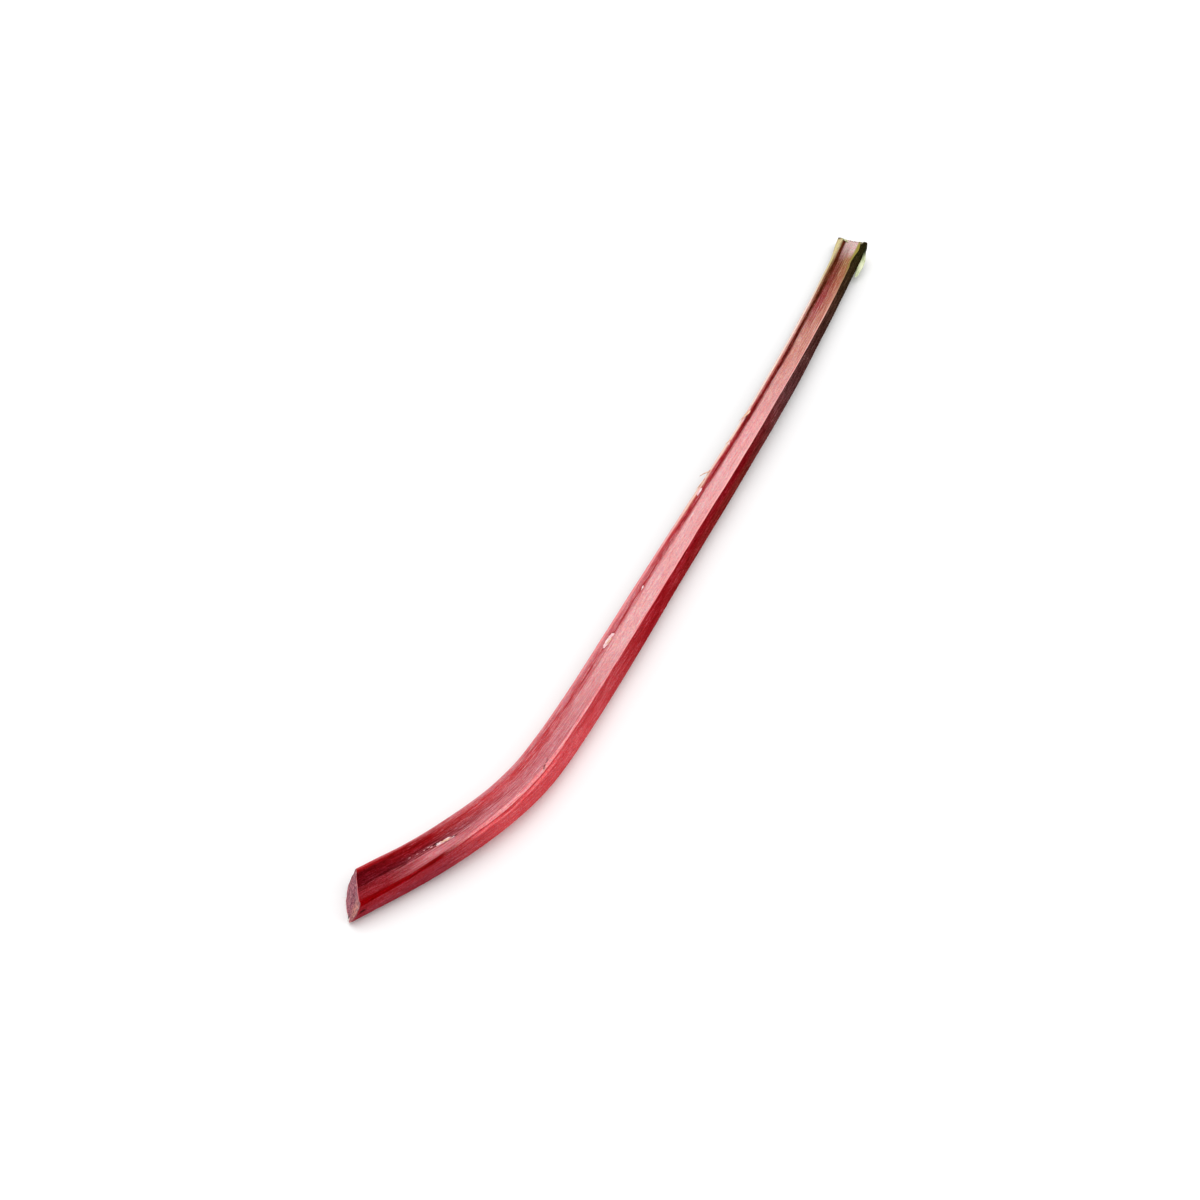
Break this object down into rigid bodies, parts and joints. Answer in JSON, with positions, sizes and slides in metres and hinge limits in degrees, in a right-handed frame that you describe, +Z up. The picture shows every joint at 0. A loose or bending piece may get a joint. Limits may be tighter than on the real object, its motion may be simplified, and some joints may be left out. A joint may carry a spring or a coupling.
{
  "type": "rhubarb stalk",
  "caption": "Trimmed rhubarb stalk with a shallow channel between raised margins and a ribbed round back, bent near its cut base.",
  "frame": {"origin": "centre of the bounding box on the surface that the stalk lies on", "axes": "+X from the cut base towards the trimmed leaf end, +Y to the inner side of the bend, +Z up, out of the channel"},
  "size_m": [0.4386, 0.0477, 0.0151],
  "materials": {
    "stalk_skin": "satin"
  },
  "bodies": {
    "root": {"stalk": "stalk_skin"}
  },
  "joints": []
}
